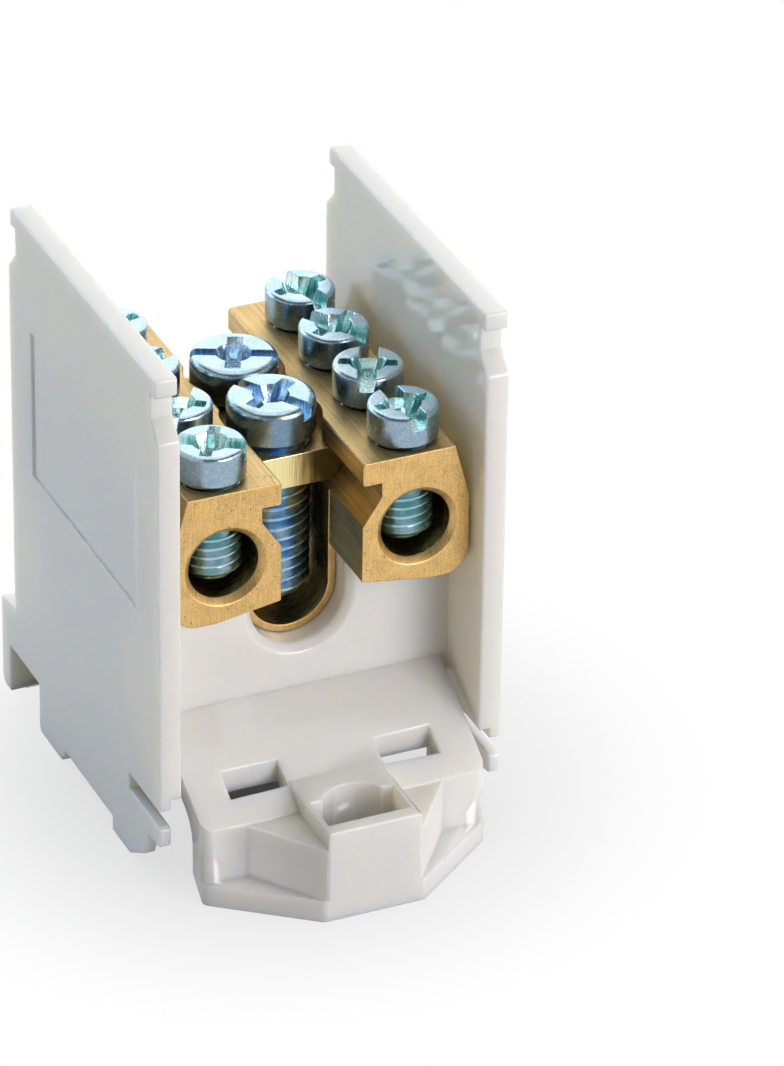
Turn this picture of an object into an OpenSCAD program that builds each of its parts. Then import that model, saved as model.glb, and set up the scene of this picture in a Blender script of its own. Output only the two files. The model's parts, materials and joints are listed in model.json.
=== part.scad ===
// Single pole distribution block for a 35 mm top-hat rail, with its cover off.
// A white plastic housing carries two brass terminal bars. A brass plate between
// the bars holds two large screws over a U-shaped saddle for the main conductor.
// Front is -Y, up is +Z, and the rail runs along X.

/* [Terminal bars] */
// Length of each bar
bar_l = 43.4; // [40:0.2:56]
// Width of each bar, from its inner face to its outer side
bar_w = 14.5; // [14:0.1:18]
// Height of each bar
bar_h = 18.3; // [17.4:0.1:22]
// Gap between the inner faces of the two bars
bar_gap = 10.9; // [10.6:0.1:12]
// Height of the bars' underside above the base
bar_z = 35.5; // [32:0.1:44]
// Rise of the underside towards the inner face
bar_heel = 1.4; // [0.4:0.1:2]
// Width of the sloping part of the underside
bar_heel_w = 8.7; // [5:0.1:9]
// Height of the vertical part of the outer side
bar_shoulder_h = 10.8; // [8:0.1:12]
// How far the outer side leans in above its vertical part
bar_taper = 2; // [0.5:0.1:2.4]
// Radius of the lower outer edge
bar_edge_r = 3.4; // [1:0.1:4]
// Radius of the small edges of the lip
lip_r = 0.4; // [0.1:0.1:0.6]
// Height of the inner lip
lip_h = 3.2; // [2.6:0.1:3.6]
// How far the lip overhangs the groove behind it
lip_overhang = 2.55; // [2:0.05:2.8]
// Height of the back wall of the groove
groove_h = 2; // [1.6:0.1:2.6]
// Height of the slope under the groove
groove_slope_h = 3.8; // [3.2:0.1:4.2]
// Diameter of the wire bore along each bar
wire_bore_d = 9.3; // [8.6:0.1:9.8]
// Distance from the inner face to the axis of the wire bore
wire_bore_in = 7.45; // [7.2:0.05:7.8]
// Height of the wire bore's axis above the underside
wire_bore_z = 7.9; // [7.4:0.1:8.2]
// Size of the chamfer at each mouth of the wire bore
mouth_chamfer = 0.8; // [0.3:0.1:1]

/* [Wire screws] */
// Distance from the front end of a bar to its first screw
wire_screw_front = 5; // [4.6:0.1:6.5]
// Distance from the last screw to the rear end of a bar
wire_screw_rear = 6; // [4.6:0.1:6.5]
// Outer diameter of the thread
wire_screw_d = 7.9; // [7:0.1:8.2]
// Diameter of the head
wire_head_d = 9; // [8.8:0.1:9.6]
// Height of the head
wire_head_h = 4.4; // [3.6:0.1:5]
// Radius of the head's rounded rim, as seen from the side
wire_rim_r = 0.6; // [0.3:0.1:1.2]
// Gap under the head
wire_head_gap = 0.4; // [0.1:0.1:1]
// Gap between the tip and the bottom of the wire bore
wire_tip_gap = 1.4; // [0.8:0.1:4]
// Width of the driver slot at its bottom
wire_slot_w = 1.75; // [1:0.05:2]
// How much wider the slot is at its top, on each side
wire_slot_flare = 0.35; // [0:0.05:0.5]
// Width of the driver cross
wire_cross_w = 1.5; // [1:0.1:2]
// Length of the driver cross
wire_cross_l = 7.5; // [5:0.1:8]

/* [Main screws] */
// Spacing of the two screws
main_screw_pitch = 12; // [11.7:0.1:14]
// Outer diameter of the thread
main_screw_d = 9.9; // [9:0.1:10.2]
// Diameter of the head
main_head_d = 11.3; // [10.8:0.1:11.6]
// Height of the head
main_head_h = 4.95; // [4.2:0.05:5.6]
// Radius of the head's rounded rim, as seen from the side
main_rim_r = 1; // [0.3:0.1:1.4]
// Gap under the head of the front screw
main_front_gap = 1.1; // [0.2:0.1:4]
// Gap under the head of the rear screw
main_rear_gap = 0.7; // [0.2:0.1:4]
// Gap between the heads and the round cut-outs in the lips of the bars
main_head_side_gap = 0.8; // [0.3:0.1:1]
// Gap between the lower tip and the floor of the saddle
main_tip_gap = 0.3; // [0.2:0.1:3]
// Width of the driver slot at its bottom
main_slot_w = 1.5; // [1:0.1:2.2]
// How much wider the slot is at its top, on each side
main_slot_flare = 0.1; // [0:0.05:0.5]
// Width of the driver cross
main_cross_w = 2; // [1:0.1:2.4]
// Length of the driver cross
main_cross_l = 8.2; // [6:0.1:9]

/* [Screw heads] */
// Chamfer under the head
head_chamfer = 0.3; // [0.1:0.05:0.35]
// Chamfer at the tip
tip_chamfer = 1.6; // [1.2:0.1:2]
// Depth of the driver slot
slot_depth = 1.9; // [1:0.1:2.4]
// Depth of the driver cross
cross_depth = 2.6; // [1.6:0.1:3]
// How much shorter the cross is at its bottom, at each end
cross_draft = 0.9; // [0:0.1:1.2]
// Diameter of the round middle of the cross
core_d = 4.7; // [3.4:0.1:5]

/* [Clamp plate and saddle] */
// Thickness of the clamp plate
plate_t = 4.6; // [3:0.1:5.4]
// Thickness of the clamp plate in front of and behind its threads
plate_wall = 0.6; // [0.4:0.1:3]
// How far the clamp plate sits behind the middle of the bars
plate_back = 0.7; // [0:0.1:2]
// Distance from the outer faces of the partitions to the ends of the saddle
saddle_setback = 3.8; // [1:0.1:4.2]
// Thickness of the saddle's strip
saddle_t = 1.05; // [0.8:0.05:1.2]
// How far the saddle hangs below the bars
saddle_drop = 10.2; // [8:0.1:11]
// Depth of the shallow pocket that holds the saddle in each bar
saddle_pocket = 1; // [0.8:0.1:1.4]

/* [Housing] */
// Thickness of the side walls
wall_t = 3; // [2.4:0.1:4]
// Thickness of the outer layer of the side walls, which carries the fingers
wall_skin = 1.6; // [1:0.1:2]
// Height of the side walls above the bars
wall_above = 19.4; // [14:0.2:30]
// Distance from the front edge of the walls to the bars
bar_setback = 3.6; // [2:0.1:5]
// Distance from the bars to the rear edge of the walls
bar_setback_rear = 3; // [2:0.1:5]
// Gap between the bars and the side walls
bar_side_gap = 0.35; // [0.2:0.05:2]
// How far the bars overhang the partitions
bar_overhang = 6.6; // [5:0.1:8]
// Thickness of the partitions
partition_t = 5.2; // [4.6:0.1:6]
// Size of the sloping rim around the saddle's notch in the partitions
notch_rim = 1; // [0.3:0.1:1.4]
// Height of the floor above the base
floor_z = 19.5; // [18:0.1:22]
// Thickness of the floor
floor_t = 2.6; // [2:0.1:4]

/* [Wall details] */
// Height of the lower front edge of the walls above the base
wall_edge_z = 12; // [11:0.1:14]
// Step between the outer and inner layers at that edge
wall_step = 1.5; // [0.5:0.1:2]
// Height of the gap above each finger
finger_gap = 2.3; // [1:0.1:3]
// Height of each finger
finger_h = 3; // [2:0.1:4]
// How far each finger stands out in front of the walls
finger_reach = 0; // [0:0.1:1]
// Distance from the front of the walls to the tab under each finger
finger_root = 3.6; // [2:0.1:5]
// Distance from the front of the walls to the corner of that tab
tab_y = 5.3; // [4:0.1:8]
// Height of that corner above the base
tab_z = 2.9; // [1:0.1:5]
// How far the inner layer of the walls stands back at the base
tab_setback = 3; // [0:0.1:3.6]
// Radius of the rounded ends of the fingers
finger_r = 0.8; // [0.3:0.1:0.9]
// Radius of the small corners of the walls
wall_r = 0.5; // [0.2:0.1:0.6]
// Depth of the cover notches in the upper edges of the walls
clip_depth = 2.4; // [1.5:0.1:3]
// Height of the lip above each cover notch
clip_lip_h = 2.5; // [1.5:0.1:4]
// Setback of that lip from the edge of the wall
clip_lip_back = 0.8; // [0.3:0.1:1.2]
// Height of the straight part of each cover notch
clip_notch_h = 3.4; // [2:0.1:5]
// Height of the slope below each cover notch
clip_slope_h = 2.6; // [1.5:0.1:4]
// Depth of the label field in the outer face of each wall
label_depth = 0.3; // [0.1:0.1:0.6]
// Height of the label field
label_h = 20.8; // [12:0.2:24]
// Distance from the label field to the edges of the wall
label_margin = 7.4; // [5:0.2:12]
// Distance from the label field to the top of the wall
label_drop = 14.7; // [12:0.1:18]

/* [Front foot] */
// How far the foot stands out in front of the walls
foot_reach = 13.9; // [12:0.1:18]
// Distance from the front of the walls to the foot's front wall
foot_wall_reach = 4.6; // [3:0.1:6]
// Thickness of the foot's front wall
foot_wall_t = 3.8; // [3:0.1:4.4]
// Height of the lower edge of the ramp
foot_edge_z = 10.9; // [9:0.1:12]
// Thickness of the ramp, measured upright
ramp_t = 3.5; // [2.4:0.1:4]
// Radius of the curve where the ramp turns down into the front wall
root_r = 5; // [3:0.1:5.6]
// Gap between the foot and the side walls
foot_gap = 1; // [0.8:0.1:3]
// Thickness of the flange along the bottom of the foot
flange_h = 3.1; // [2:0.1:4]
// Corner radius of the flange and of the foot's front wall
flange_r = 1.5; // [0.5:0.1:1.8]
// How far the flange stands out in front of the foot's front wall
flange_out = 0.6; // [0.3:0.1:1]
// Length of the bevel along the rear of the flange
heel_bevel_l = 3.2; // [1:0.1:3.4]
// Height of that bevel
heel_bevel_h = 2.8; // [1:0.1:4]
// Width of the block in the middle of the foot
block_w = 12.6; // [12:0.1:14]
// Height of the block
block_h = 13.1; // [12:0.1:15]
// Radius of the block's upright front corners
block_r = 0.7; // [0.3:0.1:1.2]
// Width of the wings that carry the block, where they meet the front wall
wings_w = 26.6; // [22:0.1:30]
// Height of the wings
wings_h = 10.6; // [8:0.1:10.8]
// Width of each window in the ramp
window_w = 7.7; // [6:0.1:9]
// Length of each window from front to rear
window_l = 3.4; // [3:0.1:5]
// Distance from each window to the block
window_side = 0.2; // [0.1:0.1:2]
// Distance from the front of the walls to the front of the windows
window_reach = 1.3; // [1:0.1:2.4]
// Width of the driver pocket in the block
pocket_w = 11.2; // [9:0.1:11.4]
// Length of the driver pocket from front to rear
pocket_l = 5.4; // [4:0.1:6]
// Depth of the driver pocket
pocket_depth = 9; // [5:0.1:10]
// Thickness of the block in front of the driver pocket
pocket_wall = 2.1; // [1.4:0.1:3]
// Radius of the scoop behind the driver pocket
scoop_r = 4.5; // [3:0.1:5]
// How far the scoop reaches behind the driver pocket
scoop_reach = 2.4; // [1:0.1:2.6]
// Depth of the scoop
scoop_depth = 6; // [3:0.1:7]

/* [Rail] */
// Width of the rail
rail_w = 35; // [34:0.5:38]
// Thickness of the rail's flanges
rail_flange_t = 1; // [1:0.1:1.5]
// Clearance of the rail between the front step and the rear leg
rail_clearance = 0.7; // [0.3:0.1:1]
// Distance from the front of the walls to the rail step
rail_step_y = 16.2; // [14:0.1:18]
// Height of the rail's seat above the base
rail_seat_z = 2; // [1.8:0.1:3]
// How far the hooks reach under the rail
hook_reach = 1; // [0.6:0.1:1.4]
// Gap between the hooks and the rail
hook_gap = 0.1; // [0.1:0.05:0.3]
// Width of the latch behind the foot, which carries the front hook
latch_w = 26; // [20:0.5:30]
// Gap between the latch and the rail step
latch_gap = 0.4; // [0.2:0.1:1]
// Thickness of the rear leg
leg_t = 3; // [2.4:0.1:4]
// Radius of the rear leg's lower edge
leg_r = 1.5; // [0.5:0.1:2]
// Height of the recess in front of the rear leg
leg_recess_z = 7; // [5:0.1:9]
// Length of that recess
leg_recess_l = 10.3; // [8:0.1:12]
// Height of the rear leg's shoulder above the base
leg_z = 13.2; // [12:0.1:16]
// Rise of the shoulder towards the walls
leg_rise = 0.7; // [0:0.1:2]
// Length of the guide that dips into the rail
guide_l = 7.9; // [5:0.1:9]
// Length of the slope in front of the guide
guide_lead = 1.2; // [0.5:0.1:2]
// Radius of the guide's rear lower corner
guide_r = 1; // [0.3:0.1:2]

/* [Clearances] */
// Clearance around pieces that slide together
piece_fit = 0.05; // [0.02:0.01:0.1]
// Radial clearance of the screws in their holes
screw_fit = 0.05; // [0.02:0.01:0.1]

/* [Hidden] */
$fn = 64;
over = 1;
root_steps = 8;
white_plastic = "#ece9e2";
brass = "#c39a4a";
zinc = "#b9c7cf";

// Half distances from the middle plane, along X
inner_u = bar_gap / 2;
outer_u = inner_u + bar_w;
groove_u = inner_u + lip_overhang;
bore_u = inner_u + wire_bore_in;
wall_u = outer_u + bar_side_gap;
housing_u = wall_u + wall_t;
foot_u = wall_u - foot_gap;

// Distances behind the front edge of the side walls, along Y
bar_mid_y = bar_setback + bar_l / 2;
wall_depth = bar_setback + bar_l + bar_setback_rear;
partition_y = bar_setback + bar_overhang;
partition_rear_y = bar_setback + bar_l - bar_overhang;
leg_y = rail_step_y + rail_w + rail_clearance;
leg_end_y = leg_y + leg_t;
guide_end_y = leg_y - leg_recess_l;
guide_y = guide_end_y - guide_l;
wire_screw_pitch = (bar_l - wire_screw_front - wire_screw_rear) / 3;
wire_screw_y = [for (i = [0 : 3]) bar_setback + wire_screw_front + i * wire_screw_pitch];
saddle_l = partition_rear_y - partition_y - 2 * saddle_setback;
plate_l = main_screw_pitch + main_screw_d + 2 * (screw_fit + plate_wall);
plate_mid_y = bar_mid_y + plate_back;
main_screw_y = [plate_mid_y - main_screw_pitch / 2, plate_mid_y + main_screw_pitch / 2];
ramp_slope = (floor_z - foot_edge_z) / (partition_y + foot_wall_reach);
wall_front_y = (foot_reach - leg_end_y) / 2;

// Heights above the base, along Z
bar_top_z = bar_z + bar_h;
lip_z = bar_top_z - lip_h;
groove_z = lip_z - groove_h;
slope_z = groove_z - groove_slope_h;
bore_z = bar_z + wire_bore_z;
wall_top_z = bar_top_z + wall_above;
plate_top_z = lip_z - piece_fit;
plate_z = plate_top_z - plate_t;
hook_z = rail_seat_z - rail_flange_t - hook_gap;
finger_top_z = wall_edge_z - finger_gap;
finger_z = finger_top_z - finger_h;

// Saddle
saddle_r = inner_u + saddle_pocket - piece_fit;
saddle_inner_r = saddle_r - saddle_t;
saddle_mid_z = bar_z - saddle_drop + saddle_r;
saddle_top_z = slope_z - piece_fit;

// Screw lengths, from where the heads and tips stand
// A main screw meets the saddle with the edge of its tip or with the top of the tip's chamfer
main_r = main_screw_d / 2;
main_tip_r = main_r - tip_chamfer;
tip_floor_z = saddle_mid_z - sqrt(saddle_inner_r ^ 2 - main_tip_r ^ 2);
shank_floor_z = saddle_mid_z - sqrt(saddle_inner_r ^ 2 - main_r ^ 2) - tip_chamfer;
saddle_floor_z = max(tip_floor_z, shank_floor_z);
main_gaps = [main_front_gap, main_rear_gap];
main_shank_l = plate_top_z + min(main_gaps) - saddle_floor_z - main_tip_gap;
wire_shank_l = bar_h + wire_head_gap - wire_bore_z + wire_bore_d / 2 - wire_tip_gap;

// Angle of the driver slot in each screw, as the block was last tightened
left_turns = [148, 55, 20, 100];
right_turns = [93, 64, 121, 104];
main_turns = [122, 155];

// Moves a piece from the front edge of the walls to the middle of the footprint
module in_block() {
    translate([0, wall_front_y, 0]) children();
}

// Extrudes an outline drawn in Y and Z along X, from x to x + w
module along_x(x, w) {
    translate([x, 0, 0]) rotate([90, 0, 90]) linear_extrude(w) children();
}

// Extrudes an outline drawn in X and Z along Y, from y to y + l
module along_y(y, l) {
    translate([0, y + l, 0]) rotate([90, 0, 0]) linear_extrude(l) children();
}

// What a rounded corner takes off, for a corner at the origin whose sides run along -X and -Y
module corner_trim(r) {
    difference() {
        translate([-r, -r]) square(r + over);
        translate([-r, -r]) circle(r);
    }
}

// Trims a corner of an outline; turn is the corner's place, in quarter turns
module trim_at(corner, turn, r) {
    translate(corner) rotate(90 * turn) corner_trim(r);
}

// Cross-section of the right-hand bar
module bar_section() {
    difference() {
        polygon([
            [inner_u, bar_z + bar_heel],
            [inner_u + bar_heel_w, bar_z],
            [outer_u, bar_z],
            [outer_u, bar_z + bar_shoulder_h],
            [outer_u - bar_taper, bar_top_z],
            [inner_u, bar_top_z],
            [inner_u, lip_z],
            [groove_u, lip_z],
            [groove_u, groove_z],
            [inner_u, slope_z]
        ]);
        trim_at([outer_u, bar_z], 3, bar_edge_r);
        trim_at([inner_u, lip_z], 2, lip_r);
        trim_at([inner_u, bar_top_z], 1, lip_r);
    }
}

// Through bore with a chamfer at both ends, along +Z from the origin
module chamfered_bore(d, l, chamfer) {
    r = d / 2;
    mouth = r + chamfer + over;
    rotate_extrude()
        polygon([
            [0, -over],
            [mouth, -over],
            [r, chamfer],
            [r, l - chamfer],
            [mouth, l + over],
            [0, l + over]
        ]);
}

module terminal_bar() {
    difference() {
        along_y(bar_setback, bar_l) bar_section();
        translate([bore_u, bar_setback, bore_z])
            rotate([-90, 0, 0])
            chamfered_bore(wire_bore_d, bar_l, mouth_chamfer);
        for (y = wire_screw_y)
            translate([bore_u, y, bore_z])
                cylinder(h = bar_h, d = wire_screw_d + 2 * screw_fit);
        for (y = main_screw_y)
            translate([0, y, groove_z])
                cylinder(h = bar_h, r = main_head_d / 2 + main_head_side_gap);
        translate([0, bar_mid_y - saddle_l / 2 - piece_fit, bar_z - over])
            cube([inner_u + saddle_pocket, saddle_l + 2 * piece_fit, slope_z - bar_z + over]);
    }
}

module terminal_bar_right() {
    color(brass) in_block() terminal_bar();
}

module terminal_bar_left() {
    color(brass) in_block() mirror([1, 0, 0]) terminal_bar();
}

// The plate fills the groove, with its lower edges sloped to match
module clamp_plate() {
    side = groove_u - piece_fit;
    foot = side - (groove_z + piece_fit - plate_z) * lip_overhang / groove_slope_h;
    color(brass) in_block() difference() {
        along_y(plate_mid_y - plate_l / 2, plate_l)
            polygon([
                [-foot, plate_z],
                [foot, plate_z],
                [side, groove_z + piece_fit],
                [side, plate_top_z],
                [-side, plate_top_z],
                [-side, groove_z + piece_fit]
            ]);
        for (y = main_screw_y)
            translate([0, y, plate_z - over])
                cylinder(h = plate_top_z - plate_z + 2 * over, d = main_screw_d + 2 * screw_fit);
    }
}

// Outline of the saddle for a radius r, open at the top
module saddle_outline(r, top_z) {
    translate([0, saddle_mid_z]) circle(r);
    translate([-r, saddle_mid_z]) square([2 * r, top_z - saddle_mid_z]);
}

module cable_saddle() {
    color(brass) in_block() along_y(bar_mid_y - saddle_l / 2, saddle_l) difference() {
        saddle_outline(saddle_r, saddle_top_z);
        saddle_outline(saddle_inner_r, saddle_top_z + over);
    }
}

// Combined slot and cross, with the top of the head at the origin and the slot along X
module driver_recess(head_d, slot_w, flare, cross_w, cross_l) {
    top_w = slot_w / 2 + flare * (slot_depth + over) / slot_depth;
    cross_r = cross_l / 2;
    core_r = core_d / 2;
    along_x(-head_d / 2 - over, head_d + 2 * over)
        polygon([
            [-slot_w / 2, -slot_depth],
            [slot_w / 2, -slot_depth],
            [top_w, over],
            [-top_w, over]
        ]);
    intersection() {
        translate([-cross_w / 2, -cross_r, -cross_depth]) cube([cross_w, cross_l, cross_depth + over]);
        translate([0, 0, -cross_depth]) cylinder(h = cross_depth, r1 = cross_r - cross_draft, r2 = cross_r);
    }
    translate([0, 0, -cross_depth]) cylinder(h = cross_depth, r1 = core_r - cross_draft, r2 = core_r);
}

// Cheese head screw, its head's underside at the origin; the driver recess is cut from the top of its head
module clamp_screw(d, shank_l, head_d, head_h, rim_r, turn) {
    r = d / 2;
    head_r = head_d / 2;
    difference() {
        rotate_extrude()
            difference() {
                polygon([
                    [0, -shank_l],
                    [r - tip_chamfer, -shank_l],
                    [r, tip_chamfer - shank_l],
                    [r, 0],
                    [head_r - head_chamfer, 0],
                    [head_r, head_chamfer],
                    [head_r, head_h],
                    [0, head_h]
                ]);
                trim_at([head_r, head_h], 0, rim_r);
            }
        translate([0, 0, head_h]) rotate(turn) children();
    }
}

module wire_screw(u, i, turn) {
    color(zinc) in_block() translate([u, wire_screw_y[i], bar_top_z + wire_head_gap])
        clamp_screw(wire_screw_d, wire_shank_l, wire_head_d, wire_head_h, wire_rim_r, turn)
        driver_recess(wire_head_d, wire_slot_w, wire_slot_flare, wire_cross_w, wire_cross_l);
}

module left_screw(i) {
    wire_screw(-bore_u, i, left_turns[i]);
}

module right_screw(i) {
    wire_screw(bore_u, i, right_turns[i]);
}

module main_screw(i) {
    color(zinc) in_block() translate([0, main_screw_y[i], plate_top_z + main_gaps[i]])
        clamp_screw(main_screw_d, main_shank_l, main_head_d, main_head_h, main_rim_r, main_turns[i])
        driver_recess(main_head_d, main_slot_w, main_slot_flare, main_cross_w, main_cross_l);
}

// Cover notch at the upper front corner of a side wall, from the top down
function clip_points() = [
    [clip_lip_back, wall_top_z],
    [clip_lip_back, wall_top_z - clip_lip_h],
    [clip_depth, wall_top_z - clip_lip_h],
    [clip_depth, wall_top_z - clip_lip_h - clip_notch_h],
    [0, wall_top_z - clip_lip_h - clip_notch_h - clip_slope_h]
];

// The same notch at the rear corner, from the bottom up
function clip_points_rear() = [
    for (i = [len(clip_points()) - 1 : -1 : 0]) [wall_depth - clip_points()[i][0], clip_points()[i][1]]
];

// Lower edge of a side wall behind the partition: rail step, seat, guide and rear leg
function rail_edge_points() = [
    [rail_step_y, 0],
    [rail_step_y, rail_seat_z],
    [guide_y - guide_lead, rail_seat_z],
    [guide_y, 0],
    [guide_end_y, 0],
    [guide_end_y, leg_recess_z],
    [leg_y, leg_recess_z],
    [leg_y, 0],
    [leg_end_y, 0],
    [leg_end_y, leg_z],
    [wall_depth, leg_z + leg_rise]
];

// Roundings that both layers of a side wall share
module wall_roundings() {
    trim_at([leg_end_y, 0], 3, leg_r);
    trim_at([guide_end_y, 0], 3, guide_r);
    trim_at([clip_lip_back, wall_top_z], 1, wall_r);
    trim_at([wall_depth - clip_lip_back, wall_top_z], 0, wall_r);
}

// Outer layer of a side wall, with the finger and the sloping tab at its lower front
module wall_outer_outline() {
    difference() {
        polygon(concat(
            clip_points(),
            [
                [0, wall_edge_z],
                [partition_y, wall_edge_z],
                [partition_y, finger_top_z],
                [-finger_reach, finger_top_z],
                [-finger_reach, finger_z],
                [finger_root, finger_z],
                [tab_y, tab_z],
                [partition_y, 0]
            ],
            rail_edge_points(),
            clip_points_rear()
        ));
        wall_roundings();
        trim_at([-finger_reach, finger_top_z], 1, finger_r);
        trim_at([-finger_reach, finger_z], 2, finger_r);
        trim_at([0, wall_edge_z], 2, wall_r);
    }
}

// Inner layer of a side wall, which stops short of the finger and the tab
module wall_inner_outline() {
    difference() {
        polygon(concat(
            clip_points(),
            [
                [0, wall_edge_z + wall_step],
                [partition_y, wall_edge_z + wall_step],
                [partition_y + tab_setback, 0]
            ],
            rail_edge_points(),
            clip_points_rear()
        ));
        wall_roundings();
    }
}

// Right-hand side wall with its label field
module side_wall() {
    difference() {
        union() {
            along_x(housing_u - wall_skin, wall_skin) wall_outer_outline();
            along_x(wall_u, wall_t - wall_skin) wall_inner_outline();
        }
        translate([housing_u - label_depth, label_margin, wall_top_z - label_drop - label_h])
            cube([label_depth + over, wall_depth - 2 * label_margin, label_h]);
    }
}

// The saddle's notch through a partition whose outer face is at y, with the rim turned to -Y
module saddle_notch(y) {
    r = saddle_r + piece_fit;
    rim = notch_rim + over;
    along_y(y - over, partition_t + 2 * over) saddle_outline(r, bar_top_z);
    translate([0, y - over, saddle_mid_z])
        rotate([-90, 0, 0])
        cylinder(h = rim, r1 = r + rim, r2 = r);
    translate([0, y - over, saddle_mid_z])
        linear_extrude(bar_h)
        polygon([[-r - rim, 0], [r + rim, 0], [r, rim], [-r, rim]]);
}

// One partition whose outer face is at y, shaped to seat both bars
module partition(y) {
    difference() {
        translate([-wall_u - over, y, floor_z - floor_t])
            cube([2 * (wall_u + over), partition_t, bar_z + bar_heel - floor_z + floor_t]);
        for (side = [0, 1])
            mirror([side, 0, 0])
            along_y(y - over, partition_t + 2 * over) bar_section();
        saddle_notch(y);
    }
}

module floor_plate() {
    translate([-wall_u - over, partition_y, floor_z - floor_t])
        cube([2 * (wall_u + over), partition_rear_y - partition_y, floor_t]);
}

// Height of the ramp's upper face at a distance y behind the front of the walls
function ramp_z(y) = foot_edge_z + ramp_slope * (y + foot_wall_reach);

// Ramp and front wall of the foot, seen from the side
module ramp_outline() {
    slope = atan(ramp_slope);
    root_y = foot_wall_t - foot_wall_reach;
    root_end_y = root_y + root_r * (1 - sin(slope));
    root_z = ramp_z(root_end_y) - ramp_t - root_r * cos(slope);
    root_angles = [for (i = [0 : root_steps]) 180 - i * (90 - slope) / root_steps];
    polygon(concat(
        [[-foot_wall_reach, 0], [root_y, 0]],
        [for (a = root_angles) [root_y + root_r * (1 + cos(a)), root_z + root_r * sin(a)]],
        [
            [partition_y, floor_z - ramp_t],
            [partition_y + over, floor_z - ramp_t],
            [partition_y + over, floor_z],
            [partition_y, floor_z],
            [-foot_wall_reach, foot_edge_z]
        ]
    ));
}

// Ramp and front wall across the foot, with the upright corners of the wall rounded
module ramp() {
    difference() {
        along_x(-foot_u, 2 * foot_u) ramp_outline();
        for (side = [0, 1])
            mirror([side, 0, 0])
            translate([0, 0, -over])
            linear_extrude(floor_z)
            trim_at([foot_u, -foot_wall_reach], 3, flange_r);
    }
}

// Flange along the bottom of the foot, seen from above
module flange_outline() {
    side_u = foot_u - flange_r;
    hull() {
        for (side = [-1, 1]) {
            translate([side * block_w / 2, flange_r - foot_reach]) circle(flange_r, $fn = 32);
            translate([side * side_u, flange_r - foot_wall_reach - flange_out]) circle(flange_r, $fn = 32);
            translate([side * side_u, foot_wall_t - foot_wall_reach - flange_r]) circle(flange_r, $fn = 32);
        }
    }
}

// Bevel along the lower rear edge of the foot, seen from the side
module heel_bevel_outline() {
    heel_y = foot_wall_t - foot_wall_reach;
    slope = heel_bevel_h / heel_bevel_l;
    polygon([
        [heel_y - heel_bevel_l - over / slope, -over],
        [heel_y + over, -over],
        [heel_y + over, heel_bevel_h + over * slope]
    ]);
}

// Wings that widen from the block to the front wall, seen from above
module wings_outline() {
    polygon([
        [-block_w / 2, -foot_reach],
        [block_w / 2, -foot_reach],
        [wings_w / 2, -foot_wall_reach],
        [wings_w / 2, over - foot_wall_reach],
        [-wings_w / 2, over - foot_wall_reach],
        [-wings_w / 2, -foot_wall_reach]
    ]);
}

// Block in the middle of the foot, seen from the side; its top runs back into the ramp
module block_outline() {
    top_end_y = (block_h - foot_edge_z) / ramp_slope - foot_wall_reach + over;
    polygon([
        [-foot_reach, 0],
        [over - foot_wall_reach, 0],
        [over - foot_wall_reach, foot_edge_z - over],
        [top_end_y, block_h - over],
        [top_end_y, block_h],
        [-foot_reach, block_h]
    ]);
}

// What rounding takes off the corner between the block's front and the right-hand wing, seen from above
module block_corner_trim() {
    lean = atan2(foot_reach - foot_wall_reach, (wings_w - block_w) / 2);
    run = block_r * tan(lean / 2);
    translate([block_w / 2, -foot_reach])
        difference() {
            polygon([
                [-run, -over],
                [over, -over],
                [run * cos(lean) + over * sin(lean), run * sin(lean) - over * cos(lean)],
                [run * cos(lean), run * sin(lean)],
                [-run, block_r]
            ]);
            translate([-run, block_r]) circle(block_r);
        }
}

// Block with its wings, before the pocket is cut
module block() {
    difference() {
        union() {
            linear_extrude(wings_h) wings_outline();
            along_x(-block_w / 2, block_w) block_outline();
        }
        for (side = [0, 1])
            mirror([side, 0, 0])
            translate([0, 0, -over])
            linear_extrude(block_h + 2 * over)
            block_corner_trim();
    }
}

// Pocket for a driver that releases the foot, with a round scoop behind it
module driver_pocket() {
    pocket_y = pocket_wall - foot_reach;
    pocket_end_y = pocket_y + pocket_l;
    translate([-pocket_w / 2, pocket_y, block_h - pocket_depth])
        cube([pocket_w, pocket_l, pocket_depth + over]);
    intersection() {
        translate([0, pocket_end_y + scoop_reach - scoop_r, block_h - scoop_depth])
            cylinder(h = scoop_depth + over, r = scoop_r);
        translate([-pocket_w / 2, pocket_end_y - over, block_h - scoop_depth])
            cube([pocket_w, scoop_r + over, scoop_depth + over]);
    }
}

// Latch behind the foot, with a hook that catches the rail's front edge
module latch() {
    latch_y = over - foot_wall_reach;
    latch_end_y = rail_step_y - latch_gap;
    hook_y = rail_step_y + hook_reach;
    along_x(-latch_w / 2, latch_w)
        polygon([
            [latch_y, 0],
            [hook_y - hook_z, 0],
            [hook_y, hook_z],
            [latch_end_y, hook_z],
            [latch_end_y, flange_h],
            [latch_y, flange_h]
        ]);
}

// Sprung foot with its ramp, block, windows and driver pocket
module front_foot() {
    window_x = block_w / 2 + window_side;
    difference() {
        union() {
            difference() {
                union() {
                    ramp();
                    linear_extrude(flange_h) flange_outline();
                }
                along_x(-foot_u - over, 2 * (foot_u + over)) heel_bevel_outline();
            }
            block();
            latch();
        }
        for (side = [0, 1])
            mirror([side, 0, 0])
            translate([window_x, -window_reach, flange_h + over])
            cube([window_w, window_l, floor_z]);
        driver_pocket();
    }
}

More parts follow.
